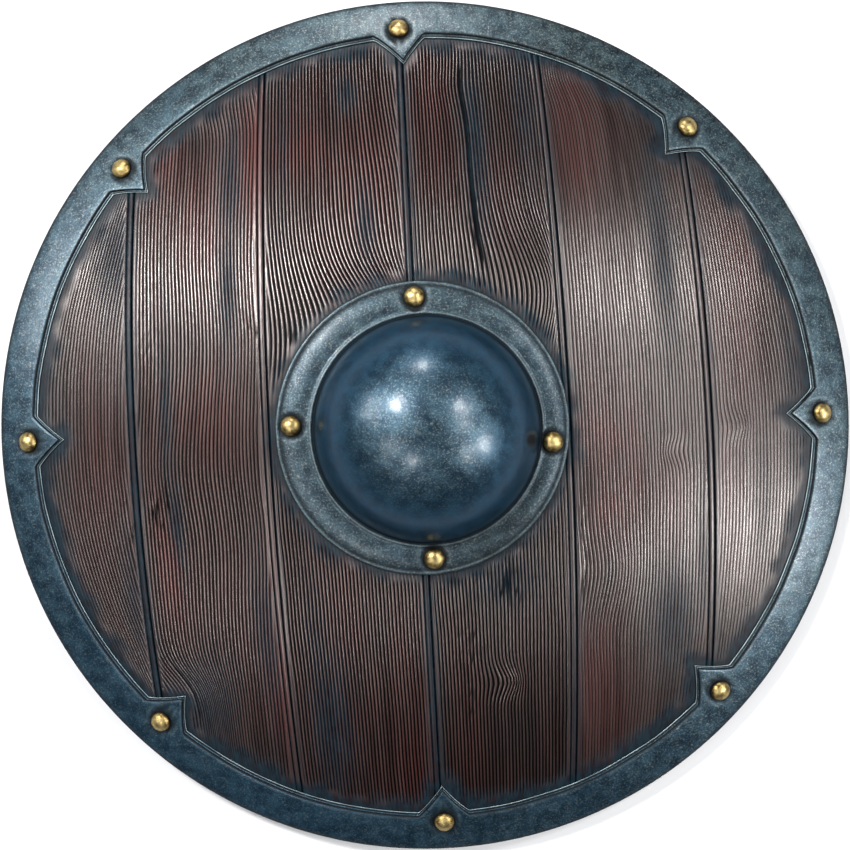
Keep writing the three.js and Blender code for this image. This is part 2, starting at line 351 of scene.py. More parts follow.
def blued_iron():
    """Hammered iron with a blue-grey patina, pale flecks where it shines through, dark hollows."""
    material, shader, node, plug = new_material("blued_iron")
    coords = node("ShaderNodeTexCoord").outputs["Object"]
    marks = node("ShaderNodeAttribute", attribute_name="marks").outputs["Color"]
    wear_and_highlight, grime_and_shade, pale = node("ShaderNodeSeparateColor", {"Color": marks}).outputs[:3]

    cloud = noise_of(node, coords, 14, 3, 0.55)
    patch = noise_of(node, coords, 105, 4, 0.62)
    speck = noise_of(node, coords, 750, 3, 0.75)
    grit = noise_of(node, coords, 1500, 2, 0.7)

    navy = blend(node, ramp(node, patch, 0.3, 0.7), rgb(6, 45, 66), rgb(13, 58, 82))
    grey = blend(node, ramp(node, patch, 0.35, 0.65), rgb(24, 37, 43), rgb(60, 77, 80))
    silvered = maths(node, "MULTIPLY", pale, ramp(node, cloud, 0.35, 0.65, 0.75, 1.0), clamp=True)
    body = blend(node, silvered, navy, grey)
    fleck = maths(node, "MULTIPLY", ramp(node, speck, 0.5, 0.72), ramp(node, pale, 0, 0.7, 0.04, 0.55))
    body = blend(node, fleck, body, rgb(146, 150, 140))
    pit = maths(node, "MULTIPLY", ramp(node, speck, 0.47, 0.32), ramp(node, pale, 0, 0.7, 0.1, 0.6))
    body = blend(node, pit, body, rgb(5, 14, 22))
    # Painted highlights and shade: the light colour marks wear and painted highlights on the beads, and
    # the near black marks painted shade in grooves, rivet seats, the dent and along edges.
    body = blend(node, maths(node, "MULTIPLY", wear_and_highlight, 0.75), body, rgb(150, 166, 168))
    body = blend(node, maths(node, "MULTIPLY", grime_and_shade, 0.92), body, rgb(2, 4, 6))
    plug(shader.inputs["Base Color"], body)
    shader.inputs["Metallic"].default_value = 0.7
    coat = maths(node, "MULTIPLY", ramp(node, pale, 0, 0.5, 0.1, 0.34), ramp(node, grime_and_shade, 0, 0.8, 1, 0))
    plug(shader.inputs["Coat Weight"], coat)
    plug(shader.inputs["Coat Roughness"], ramp(node, pale, 0.5, 0.65, 0.2, 0.3))
    roughness = ramp(node, patch, 0.3, 0.7, 0.3, 0.4)
    plug(shader.inputs["Roughness"], maths(node, "MULTIPLY_ADD", grime_and_shade, 0.3, roughness))
    grain_bump = ramp(node, pale, 0, 0.8, 0.12, 0.45)
    bumps = ((patch, 0.15, 0.0008), (speck, grain_bump, 0.0004), (grit, 0.25, 0.0002))
    plug(shader.inputs["Normal"], bumped(node, bumps))
    return material


def rivet_brass():
    """Pale brass, burnished on top, browned along its scratches, with painted shade round its foot."""
    material, shader, node, plug = new_material("rivet_brass")
    coords = node("ShaderNodeTexCoord").outputs["Object"]
    marks = node("ShaderNodeAttribute", attribute_name="marks").outputs["Color"]
    wear_and_highlight, grime_and_shade = node("ShaderNodeSeparateColor", {"Color": marks}).outputs[:2]
    patch = noise_of(node, coords, 240, 4, 0.6)
    scratch = noise_of(node, coords, 900, 3, 0.65, (1, 0.25, 1))
    body = blend(node, ramp(node, patch, 0.35, 0.62), rgb(98, 78, 42), rgb(156, 136, 88))
    body = blend(node, ramp(node, scratch, 0.62, 0.72, 0, 0.6), body, rgb(84, 58, 30))
    body = blend(node, maths(node, "MULTIPLY", wear_and_highlight, 0.5), body, rgb(188, 170, 118))
    # Painted shade round the head's foot.
    body = blend(node, grime_and_shade, body, rgb(20, 15, 10))
    plug(shader.inputs["Base Color"], body)
    shader.inputs["Metallic"].default_value = 0.95
    plug(shader.inputs["Roughness"], ramp(node, patch, 0.3, 0.7, 0.32, 0.48))
    plug(shader.inputs["Normal"], bumped(node, ((patch, 0.4, 0.0006), (scratch, 0.3, 0.0002))))
    return material


def pale_floor():
    material, shader, node, plug = new_material("pale_floor")
    coords = node("ShaderNodeTexCoord").outputs["Object"]
    shade = ramp(node, noise_of(node, coords, 3, 3), 0.3, 0.7)
    plug(shader.inputs["Base Color"], blend(node, shade, rgb(204, 204, 205), rgb(208, 208, 209)))
    shader.inputs["Roughness"].default_value = 0.9
    return material


OAK = stained_oak()
BATTEN_OAK = plain_oak()
IRON = blued_iron()
BRASS = rivet_brass()


# ---- Finishing a piece ----
def finished(bm, name, material, nodes):
    """Scales a mesh to metres, turns its faces outwards, and makes it a piece that stands for nodes."""
    bmesh.ops.scale(bm, vec=(MM, MM, MM), verts=bm.verts)
    if bm.calc_volume(signed=True) < 0:
        bmesh.ops.reverse_faces(bm, faces=bm.faces)
    mesh = bpy.data.meshes.new(name)
    bm.to_mesh(mesh)
    bm.free()
    piece = bpy.data.objects.new(name, mesh)
    bpy.context.scene.collection.objects.link(piece)
    mesh.materials.append(material)
    mesh.shade_smooth()
    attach(piece, "root")
    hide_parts(*nodes)
    return piece


def spun(profile, steps, closed=False):
    """A bmesh turned about Z from a profile of (radius, height) points."""
    bm = bmesh.new()
    verts = [bm.verts.new((radius, 0, height)) for radius, height in profile]
    edges = [bm.edges.new(pair) for pair in zip(verts, verts[1:])]
    if closed:
        edges.append(bm.edges.new((verts[-1], verts[0])))
    bmesh.ops.spin(
        bm,
        geom=verts + edges,
        cent=(0, 0, 0),
        axis=(0, 0, 1),
        angle=2 * math.pi,
        steps=steps,
        use_merge=True,
    )
    bmesh.ops.remove_doubles(bm, verts=bm.verts, dist=1e-4)
    bmesh.ops.recalc_face_normals(bm, faces=bm.faces)
    return bm


def mark_layer(bm):
    return bm.verts.layers.float_color.new("marks")


# ---- The planks ----
GRAIN_PITCH = 2.5
COLUMN_PHASES = (0.0, 0.24, 0.5, 0.76)  # of each ridge's columns, counted from its groove
ROW_LENGTH = 4.6
BEAD_WIDTH = 3.9  # between a joint and the groove scribed beside it
SEAM_CUTS = (0.4, 0.9, 1.9, 2.9, 3.4, 3.9, 4.4, 5.2)  # from a plank's beaded edge
PLAIN_CUTS = (0.4, 0.9, 2.0)  # from its other edge
TRIM_SIDES = 40  # of the disc that a plank is trimmed to
TRIM_INSET = 2.0
HAND_HOLE_SIDES = 72
HAND_HOLE_BAND = 12.0  # only faces this near the hand hole's edge are cut by it
FAR = 99  # a distance at which a joint no longer marks the wood

# How the grain runs on each plank. A swing carries the lines sideways for good as they pass down a
# height; a bulge carries them out and back. Each is (x, height, shift, reach across, reach along).
# Red, grey and chipped patches are (x, height, reach across, reach along, strength), splits are
# (x, top, bottom, width, depth), and bow and edge are given for the left and the right side. Depth is
# the ridges' height, sharp narrows the grooves, dark blackens them with painted shade, tone lightens the
# stain on the ridges, and lean is how far the lines drift sideways for each millimetre along them.
GRAIN = {
    1: {
        "depth": 0.5,
        "tone": 0.38,
        "sharp": 1.5,
        "dark": 0.76,
        "bow": (0.0015, 0.0007),
        "lean": 0.0,
        "edge": (0.3, 1.0),
        "swings": (),
        "bulges": ((-235, 20, 2, 30, 40),),
        "red": ((-206, 29, 3, 6, 3.0), (-222, -30, 24, 90, 0.5), (-235, 60, 12, 60, 0.4)),
        "grey": ((-262, 0, 12, 150, 0.4), (-213, 130, 18, 45, 1.0), (-210, -110, 9, 50, 0.7)),
        "chips": ((-208, -55, 5, 30, 0.6),),
        "cracks": (),
    },
    2: {
        "depth": 0.6,
        "tone": 0.68,
        "sharp": 1.2,
        "dark": 0.82,
        "bow": (0.0, 0.0),
        "lean": 0.02,
        "edge": (0.5, 0.3),
        "swings": ((-196, -165, 22, 36, 15),),
        "bulges": (
            (-150, 60, 4, 50, 45),
            (-130, -70, 3, 40, 35),
            (-170, -20, -3, 25, 30),
            (-112, 252, -6, 30, 18),
            (-150, 230, -5, 30, 16),
        ),
        "red": (
            (-112, 170, 12, 70, 1.0),
            (-150, 150, 20, 40, 0.7),
            (-178, 190, 14, 50, 0.6),
            (-182, -90, 8, 40, 0.8),
            (-150, 20, 26, 40, 0.35),
            (-112, -160, 14, 60, 0.6),
        ),
        "grey": (
            (-130, 175, 9, 45, 0.9),
            (-132, 100, 7, 45, 1.0),
            (-178, 30, 5, 60, 0.9),
            (-175, -60, 5, 30, 1.0),
            (-118, -140, 10, 60, 0.8),
            (-165, -190, 20, 40, 0.9),
        ),
        "chips": ((-115, 70, 9, 10, 1.0), (-190, -52, 7, 20, 1.0), (-188, 65, 9, 22, 0.5)),
        "cracks": ((-192, -150, -205, 1.2, 1.0), (-178, -20, -60, 0.8, 0.8)),
    },
    3: {
        "depth": 0.68,
        "tone": 0.56,
        "sharp": 1.1,
        "dark": 1.05,
        "bow": (0.0, 0.0),
        "lean": -0.01,
        "edge": (0.3, 0.9),
        "swings": (),
        "bulges": ((-45, 66, 30, 44, 42), (-10, 150, 9, 32, 60)),
        "red": (
            (-78, 215, 22, 55, 1.2),
            (-35, 165, 30, 60, 0.9),
            (-60, 130, 36, 40, 0.5),
            (-20, -190, 16, 90, 0.6),
            (-62, -150, 30, 90, 0.45),
        ),
        "grey": (
            (-45, 235, 8, 14, 1.0),
            (-34, 140, 7, 26, 0.9),
            (-92, 200, 4, 60, 0.5),
            (-78, -205, 16, 50, 0.9),
            (-84, -150, 7, 50, 0.5),
            (-70, 66, 20, 10, 0.8),
        ),
        "chips": ((-34, 140, 5, 14, 0.5), (-88, 64, 8, 9, 0.8)),
        "cracks": (),
    },
    4: {
        "depth": 0.68,
        "tone": 0.36,
        "sharp": 1.1,
        "dark": 1.12,
        "bow": (0.0, 0.0),
        "lean": -0.01,
        "edge": (0.6, 0.5),
        "swings": (),
        "bulges": ((72, 88, 16, 28, 42), (44, -180, 6, 12, 10), (36, 235, -2.5, 16, 16)),
        "red": (
            (18, 205, 22, 80, 1.1),
            (62, 165, 20, 70, 0.7),
            (18, -190, 18, 75, 0.5),
            (68, -180, 22, 90, 0.35),
        ),
        "grey": ((46, 190, 8, 60, 1.0), (84, 215, 9, 50, 0.6), (50, -110, 26, 16, 0.7)),
        "chips": ((48, -112, 26, 12, 0.75), (22, -165, 10, 50, 0.6), (42, 138, 5, 20, 1.0)),
        "cracks": (
            (42.8, 258, 98, 0.9, 1.4),
            (43.4, 186, 118, 1.3, 1.6),
            (49.9, -90, -126, 1.0, 1.2),
            (33, 172, 150, 0.7, 0.8),
        ),
    },
    5: {
        "depth": 0.2,
        "tone": 0.37,
        "sharp": 1.6,
        "dark": 0.7,
        "bow": (0.0, -0.0002),
        "lean": 0.0,
        "edge": (0.4, 0.4),
        "swings": (),
        "bulges": (
            (172, -27, -3.5, 9, 8),
            (125, -150, -3, 26, 25),
            (120, -105, 3, 26, 22),
            (140, 242, -8, 44, 22),
        ),
        "red": (
            (126, -36, 20, 44, 1.8),
            (113, -181, 18, 60, 0.7),
            (118, 190, 16, 60, 0.7),
            (165, -60, 16, 40, 0.4),
        ),
        "grey": ((172, 110, 10, 70, 0.9), (168, -140, 18, 40, 0.9), (190, -100, 5, 60, 0.7)),
        "chips": ((104, -90, 3, 40, 0.8), (104, -10, 3, 30, 0.4)),
        "cracks": (),
    },
    6: {
        "depth": 0.21,
        "tone": 0.36,
        "sharp": 1.7,
        "dark": 0.68,
        "bow": (-0.0002, -0.0007),
        "lean": 0.0,
        "edge": (0.5, 0.3),
        "swings": (),
        "bulges": ((215, -12, 3.5, 10, 9), (240, 80, -2, 20, 40)),
        "red": ((225, 70, 22, 90, 0.5), (212, -60, 16, 60, 0.5)),
        "grey": ((262, 0, 12, 120, 0.8), (235, -60, 10, 60, 0.5)),
        "chips": (),
        "cracks": (),
    },
}


def grain_shift(number, line, y):
    """How far a grain line has moved sideways at a height."""
    grain = GRAIN[number]
    left, right = JOINTS[number - 1], JOINTS[number]
    across = min(1.0, max(0.0, (line - left) / (right - left)))
    shift = lerp(*grain["bow"], across) * y * y + grain["lean"] * y
    for x, height, amount, wide, tall in grain["swings"]:
        shift += amount * bell(line - x, wide) * (0.5 + 0.5 * math.tanh((height - y) / tall))
    for x, height, amount, wide, tall in grain["bulges"]:
        shift += amount * bell(line - x, wide) * bell(y - height, tall)
    shift += 1.0 * waver(line / 55, y / 70, number) + 0.3 * waver(line / 9, y / 22, number + 9.5)
    return shift


def grain_margin(number):
    """How far past the plank's edges its grain lines have to start, to fill it after they shift."""
    grain = GRAIN[number]
    bends = grain["swings"] + grain["bulges"]
    return 8 + sum(abs(bend[2]) for bend in bends) + abs(grain["lean"]) * SHIELD_RADIUS


def combed_sheet(number):
    """A sheet whose columns follow the grain, cut to the plank's joints and the board's edge.

    Until the board gets its shape, z holds how far across the grain a vertex is."""
    left = JOINTS[number - 1] + SEAM_GAP / 2
    right = JOINTS[number] - SEAM_GAP / 2
    margin = grain_margin(number)
    nearest = min(abs(left), abs(right)) if left * right > 0 else 0
    half_length = math.sqrt(BOARD_RADIUS**2 - nearest**2) + 3
    start = max(left - margin, -BOARD_RADIUS - 2)
    end = min(right + margin, BOARD_RADIUS + 2)
    columns = math.ceil((end - start) / GRAIN_PITCH) * len(COLUMN_PHASES)
    rows = math.ceil(2 * half_length / ROW_LENGTH)

    bm = bmesh.new()
    bm.verts.layers.float_vector.new("grain")
    bm.verts.layers.float_color.new("tint")
    bmesh.ops.create_grid(bm, x_segments=columns, y_segments=rows, size=1)
    for vert in bm.verts:
        column = round((vert.co.x + 1) / 2 * columns)
        ridge, place = divmod(column, len(COLUMN_PHASES))
        across = (ridge + COLUMN_PHASES[place]) * GRAIN_PITCH
        y = vert.co.y * half_length
        line = start + across
        vert.co = (line + grain_shift(number, line, y), y, across)
    for edge, direction, cuts in ((left, 1, PLAIN_CUTS), (right, -1, SEAM_CUTS)):
        if abs(edge) < BOARD_RADIUS:
            cut_across(bm, edge, direction, clear=True)
            for distance in cuts:
                cut_across(bm, edge + direction * distance, direction)
    for vert in bm.verts:
        vert.co.x *= stave_taper(vert.co.y)
    trim_round(bm, left, right)
    return bm


def cut_across(bm, x, direction, clear=False):
    """Cuts the sheet along a line of constant x, and clears what lies outside it if asked."""
    geometry = bm.verts[:] + bm.edges[:] + bm.faces[:]
    bmesh.ops.bisect_plane(
        bm, geom=geometry, dist=1e-4, plane_co=(x, 0, 0), plane_no=(-direction, 0, 0), clear_outer=clear
    )


def trim_round(bm, left, right):
    """Trims a sheet to a many-sided disc whose edge is hidden inside the rim."""
    half = math.pi / TRIM_SIDES
    reach = (BOARD_RADIUS - TRIM_INSET) * math.cos(half)
    for side in range(TRIM_SIDES):
        angle = 2 * side * half
        normal = Vector((math.cos(angle), math.sin(angle), 0))
        spread = reach * math.tan(half) * 1.6
        if not left - spread < normal.x * reach < right + spread:
            continue
        geometry = bm.verts[:] + bm.edges[:] + bm.faces[:]
        bmesh.ops.bisect_plane(
            bm, geom=geometry, dist=1e-4, plane_co=normal * reach, plane_no=normal, clear_outer=True
        )


def seam_relief(from_left, from_right):
    """Height, darkness and grain strength near a plank's joints: rounded on its left, beaded on its
    right."""
    height = -0.9 * (1 - smooth(from_left / 1.0))
    dark = bell(from_left, 0.6)
    strength = smooth((from_left - 0.8) / 3)
    if from_right < BEAD_WIDTH:
        height -= 0.9 * abs((from_right - BEAD_WIDTH / 2) / (BEAD_WIDTH / 2)) ** 3
    else:
        height -= 0.9 * (1 - smooth((from_right - BEAD_WIDTH) / 1.3))
    dark = max(dark, bell(from_right, 0.6), bell(from_right - BEAD_WIDTH, 0.7))
    strength = min(strength, smooth((from_right - BEAD_WIDTH - 0.6) / 3))
    return height, dark, strength


def patches(spots, x, y):
    """The strongest of some soft oval patches (x, y, reach across, reach along, strength)."""
    return max((s * bell(x - px, rx) * bell(y - py, ry) for px, py, rx, ry, s in spots), default=0)


def crack_depth(number, line, y):
    """0 to about 1 along the splits that open in the grain, and how deep they are."""
    dark, depth = 0.0, 0.0
    for start, top, bottom, wide, deep in GRAIN[number]["cracks"]:
        ends = smooth((top - y) / 18) * smooth((y - bottom) / 18)
        ragged = 0.3 + 1.5 * abs(waver(y / 8, start, 3.3))
        here = ends * bell(line - start, wide * ragged + 0.2)
        if here > dark:
            dark, depth = here, deep * here
    return dark, depth


def carve_plank(bm, number, front):
    """Raises the combed sheet to the domed face, with its grain, joints, splits and colours."""
    grain_layer = bm.verts.layers.float_vector["grain"]
    tint_layer = bm.verts.layers.float_color["tint"]
    left = JOINTS[number - 1] + SEAM_GAP / 2
    right = JOINTS[number] - SEAM_GAP / 2
    start = max(left - grain_margin(number), -BOARD_RADIUS - 2)
    grain = GRAIN[number]
    for vert in bm.verts:
        x, y, across = vert.co
        radius = math.hypot(x, y)
        if vert not in front:
            vert.co.z = dome_z(BACK_CURVE, radius) + 0.12 * waver(across / 7, y / 60, number)
            vert[grain_layer] = (across, y, number * 50 + 25)
            vert[tint_layer] = (0.25 + 0.3 * waver(across / 3, y / 50, number), 0.0, 0.15, 0.7)
            continue
        flat_x = x / stave_taper(y)
        height, dark, strength = seam_relief(
            flat_x - left if abs(left) < BOARD_RADIUS else FAR,
            right - flat_x if abs(right) < BOARD_RADIUS else FAR,
        )
        distance = iron_distance(x, y)
        strength *= 0.05 + 0.95 * smooth((distance - 5 + 4 * waver(x / 9, y / 9, 7)) / 7)
        phase = 2 * math.pi * across / GRAIN_PITCH
        groove = (0.5 + 0.5 * math.cos(phase)) ** grain["sharp"]
        ridge_depth = grain["depth"] * (1 + 0.45 * waver(across / 2.6, y / 70, number + 20))
        crack, crack_drop = crack_depth(number, start + across, y)
        chip = min(1, patches(grain["chips"], flat_x, y)) * waver(x / 1.3, y / 7, 77) * 1.5
        height -= ridge_depth * strength * groove + crack_drop + 0.7 * chip
        height += 0.3 * waver(x / 38, y / 55, number + 2) * smooth((distance - 3) / 8)
        vert.co.z = dome_z(FACE_CURVE, radius) + height

        glaze = 1 - smooth((distance - 4 + 6 * waver(x / 14, y / 14, 1.5)) / 14)
        edge_left, edge_right = grain["edge"]
        beside_seam = max(edge_left * bell(flat_x - left, 4), edge_right * bell(right - flat_x, 5.5))
        glaze = max(glaze, beside_seam, patches(grain["grey"], flat_x, y) * 0.7)
        redness = patches(grain["red"], flat_x, y) * (0.8 + 0.5 * waver(across / 5, y / 40, 5.5))
        # Painted shade blackens the grooves, splits and chip hollows, and the raised bits of a chip are
        # lightened as painted light; the joint lines are dark joints.
        darkness = max(groove * strength * grain["dark"], dark, crack, min(0.7, 1.3 * chip))
        tone = grain["tone"] * (1 + 0.3 * waver(x / 30, y / 80, number + 60)) + max(0, -chip)
        vert[grain_layer] = (across, y, number * 50)
        vert[tint_layer] = (min(1, darkness), min(1, glaze), min(1, max(0, redness)), tone)


def make_plank(number):
    bm = combed_sheet(number)
    if JOINTS[number - 1] < HAND_HOLE_RADIUS and JOINTS[number] > -HAND_HOLE_RADIUS:
        cut_hand_hole(bm)
    front = set(bm.verts)
    bmesh.ops.extrude_face_region(bm, geom=bm.faces[:])
    carve_plank(bm, number, front)
    bmesh.ops.recalc_face_normals(bm, faces=bm.faces)
    name = f"plank_{number}"
    return finished(bm, f"combed_{name}", OAK, [name])


def cut_hand_hole(bm):
    """Cuts the round hole behind the boss out of a sheet, as a many-sided hole."""
    half = math.pi / HAND_HOLE_SIDES
    reach = HAND_HOLE_RADIUS * math.cos(half)
    centre = Vector((*DOME_CENTRE, 0))
    for side in range(HAND_HOLE_SIDES):
        angle = 2 * side * half
        normal = Vector((math.cos(angle), math.sin(angle), 0))
        near = []
        for face in bm.faces:
            offset = (face.calc_center_median() - centre).to_2d()
            if abs(offset.length - HAND_HOLE_RADIUS) < HAND_HOLE_BAND:
                if abs(turn_between(math.atan2(offset.y, offset.x), angle)) < 2.2 * half:
                    near.append(face)
        parts = {part for face in near for part in (*face.verts, *face.edges)}
        bmesh.ops.bisect_plane(
            bm, geom=near + list(parts), dist=1e-4, plane_co=centre + normal * reach, plane_no=normal
        )
    inside = []
    for face in bm.faces:
        offset = (face.calc_center_median() - centre).to_2d()
        nearest = round(math.atan2(offset.y, offset.x) / (2 * half)) * 2 * half
        if offset.dot(Vector((math.cos(nearest), math.sin(nearest)))) < reach:
            inside.append(face)
    bmesh.ops.delete(bm, geom=inside, context="FACES")


JOINTS = joint_places()
for plank_number in GRAIN:
    make_plank(plank_number)


# ---- Hollows round the rivets ----
def seat_dip(distance):
    """The dished seat hammered round a rivet, with a low lip outside it."""
    return -0.6 * (1 - smooth((distance - 8) / 3)) + 0.1 * bell(distance - 11.4, 1.0)


def seat_marks(distance):
    """Painted shade in the seat round a rivet's head, and wear on its lip."""
    return bell(max(0, distance - 8.4), 1.6), 0.15 * bell(distance - 11.4, 0.8)


# ---- The rim ----
RIM_STEPS = 1080
RIM_TOP = GAP + RIM_PLATE
# The rim's section on the face as (radius, height above the wood), from its inner edge outwards.
RIM_FACE = (
    (272.0, GAP + 0.1),
    (271.9, GAP + 0.5),
    (272.1, GAP + 0.85),
    (272.5, GAP + 0.95),
    (272.8, GAP + 0.75),
    (273.1, GAP + 0.2),
    (274.3, GAP + 0.1),
    (274.8, GAP + 0.5),
    (275.0, GAP + 1.2),
    (275.3, GAP + 1.8),
    (275.9, GAP + 2.2),
    (276.8, RIM_TOP),
    (278.6, RIM_TOP + 0.05),
    (280.8, RIM_TOP + 0.1),
    (283.2, RIM_TOP + 0.12),
    (285.6, RIM_TOP + 0.12),
    (288.0, RIM_TOP + 0.1),
    (290.4, RIM_TOP + 0.05),
    (292.8, RIM_TOP),
    (295.2, RIM_TOP - 0.1),
    (297.2, RIM_TOP - 0.25),
)
CUSP_REACH = (277.0, 292.0)  # a cusp carries the face inside the first, and none of it past the second
RIM_BEAD = 272.3
RIM_GROOVE = 274.4
RIM_SHOULDER = 276.6
RIM_EDGE = 299.5
RIM_WALL = 298  # past this radius the iron is the wall round the edge


def rim_section():
    corner = dome_z(FACE_CURVE + RIM_TOP, SHIELD_RADIUS)
    foot_inner = math.sqrt((BACK_CURVE - GAP - RIM_LIP) ** 2 - CURVE_CENTRE_Z**2)
    lip_top, lip_under = BACK_CURVE - GAP, BACK_CURVE - GAP - RIM_LIP
    section = [(radius, dome_z(FACE_CURVE, radius) + height) for radius, height in RIM_FACE]
    section += [(298.7, corner - 0.15), (299.6, corner - 1.0), (300, corner - 2.2)]
    section += [(300, 9), (300, 6), (300, 3), (299.9, 1.2), (299.6, 0.4), (299.0, 0)]
    section += [(foot_inner + 1.5, 0), (foot_inner, 0)]
    section += [(radius, dome_z(lip_under, radius)) for radius in (290, 285, 280, 276, 272.6)]
    for surface, outwards, rise in ((lip_under, 0.5, 0.3), (lip_under, 0, 0.8), (lip_top, 0.3, -0.3)):
        radius = LIP_INNER_RADIUS + outwards
        section.append((radius, dome_z(surface, radius) + rise))
    section.append((272, dome_z(lip_top, 272)))
    section += [(radius, dome_z(lip_top, radius)) for radius in (284, BOARD_RADIUS + GAP)]
    section += [
        (radius, dome_z(FACE_CURVE, radius) + GAP) for radius in (BOARD_RADIUS + GAP, 286, 278, 273)
    ]
    return section


def key_angles():
    """The bearings that need a column of the rim exactly on them: cusp tips and shoulders."""
    keys = []
    for place, bearing in BEARINGS.items():
        for offset in (-CUSP_HALF_ANGLE, TIP_LEANS[place], CUSP_HALF_ANGLE):
            keys.append(bearing + math.radians(offset))
    return keys


def settled_angle(angle, keys):
    """An angle, moved onto a key angle if one is within half a column."""
    half_step = math.pi / RIM_STEPS
    for key in keys:
        if abs(turn_between(angle, key)) <= half_step:
            return key
    return angle


def make_rim():
    bm = spun(rim_section(), RIM_STEPS, closed=True)
    marks = mark_layer(bm)
    keys = key_angles()
    seats = list(rim_spots.values())
    for vert in bm.verts:
        x, y, z = vert.co
        radius = math.hypot(x, y)
        angle = settled_angle(math.atan2(y, x), keys)
        height = z - dome_z(FACE_CURVE, radius)
        # Painted light: the rim's iron is paler toward the top and the right, where the lamps fall on it.
        wear_and_highlight, grime_and_shade, pale = 0.0, 0.0, 0.6 + 0.25 * math.sin(angle) + 0.15 * math.cos(angle)
        if height > 0:
            inner = rim_inner(angle)
            carried = 1 - smooth((radius - CUSP_REACH[0]) / (CUSP_REACH[1] - CUSP_REACH[0]))
            edge_wander = 0.45 * waver(math.cos(angle) * 9, math.sin(angle) * 9, 4) * carried
            new_radius = radius + (inner - RIM_INNER_RADIUS) * carried + edge_wander
            x, y = new_radius * math.cos(angle), new_radius * math.sin(angle)
            seat = min((Vector((x, y)) - spot).length for spot in seats)
            if height > GAP + 0.1:
                height += seat_dip(seat) * smooth((radius - RIM_INNER_RADIUS) / 2)
                height += 0.2 * waver(x / 11, y / 11, 2) + 0.12 * waver(x / 4, y / 4, 5)
                grime_and_shade, lip = seat_marks(seat)
                # Painted highlights: a faint light line on the shoulder and a bright dotted line on the
                # bead inside the rim; the seat's lip is wear.
                shine = 0.6 + 0.8 * waver(x / 14, y / 14, 8)
                shoulder_highlight = 0.12 * bell(radius - RIM_SHOULDER, 0.6) * shine
                bead_highlight = bell(radius - RIM_BEAD, 0.5) * (0.3 + shine)
                wear_and_highlight = max(lip, shoulder_highlight, bead_highlight)
                # Painted shadow: a black line in the groove inside the rim, and painted shade along the
                # rim's rounded outer edge.
                groove_shadow = bell(max(0, abs(radius - RIM_GROOVE) - 1.2), 0.6)
                grime_and_shade = max(grime_and_shade, groove_shadow, bell(radius - RIM_EDGE, 1.1))
            z = dome_z(FACE_CURVE, new_radius) + height
        else:
            hammered = 0.35 * waver(math.cos(angle) * 14, math.sin(angle) * 14, z / 9)
            new_radius = radius + (hammered if radius > RIM_WALL else 0)
            x, y = new_radius * math.cos(angle), new_radius * math.sin(angle)
            wear_and_highlight = 0.4 * bell(z - 0.5, 0.8) if radius > RIM_WALL else 0.0
        vert.co = (x, y, z)
        vert[marks] = (max(0, min(1, wear_and_highlight)), min(1, grime_and_shade), pale, 1)
    return finished(bm, "cusped_rim", IRON, ["rim"])


make_rim()

# ---- The boss ----
BOSS_STEPS = 384
FLANGE_START = 78.3  # distances from the dome's centre, for what runs round it
INNER_BEAD = 79.2
OUTER_BEAD = 98.8
# Painted shadow lines: in the groove at the dome's foot, in the groove inside the outer bead, and outside
# the flange's edge.
SHADOW_RINGS = ((77.2, 1.3), (97.0, 1.0), (100.5, 0.8))  # (distance, width)
DENT_INSET = 13.8  # from the right rivet towards the dome's centre
DENT_REACH = 4.2
DENT_DEPTH = 2


def boss_profile():
    """(distance from the dome's centre, height above the board's face), from the top out and back."""
    profile = []
    for degrees in range(90, 8, -3):
        angle = math.radians(degrees)
        profile.append((DOME_RADIUS * math.cos(angle), DOME_HEIGHT * math.sin(angle)))
    top = GAP + FLANGE_THICKNESS
    profile += [(DOME_RADIUS - 0.3, top + 3.2), (DOME_RADIUS, top + 1.4), (DOME_RADIUS + 0.3, top)]
    profile += [(77.2, top - 0.7), (77.8, top - 0.6), (78.5, top + 0.15), (79.2, top + 0.35)]
    profile += [(80.0, top + 0.1), (80.8, top - 0.4), (82, top - 0.35), (84, top), (86.5, top + 0.35)]
    profile += [(89, top + 0.45), (92, top + 0.25), (94.5, top - 0.25), (96.5, top - 0.9)]
    profile += [(97.3, top - 1.0), (98.2, top - 0.6), (99, top - 0.6), (99.7, top - 0.9)]
    profile += [(FLANGE_RADIUS, top - 1.6), (FLANGE_RADIUS, top - 2.4), (FLANGE_RADIUS - 0.3, GAP)]
    profile += [(90, GAP), (80, GAP), (75, GAP), (DOME_RADIUS - BOSS_WALL, GAP + 1)]
    for degrees in range(8, 91, 6):
        angle = math.radians(min(90, degrees))
        inner = (DOME_RADIUS - BOSS_WALL, DOME_HEIGHT - BOSS_WALL)
        profile.append((inner[0] * math.cos(angle), inner[1] * math.sin(angle)))
    profile.append((0, DOME_HEIGHT - BOSS_WALL))
    return profile


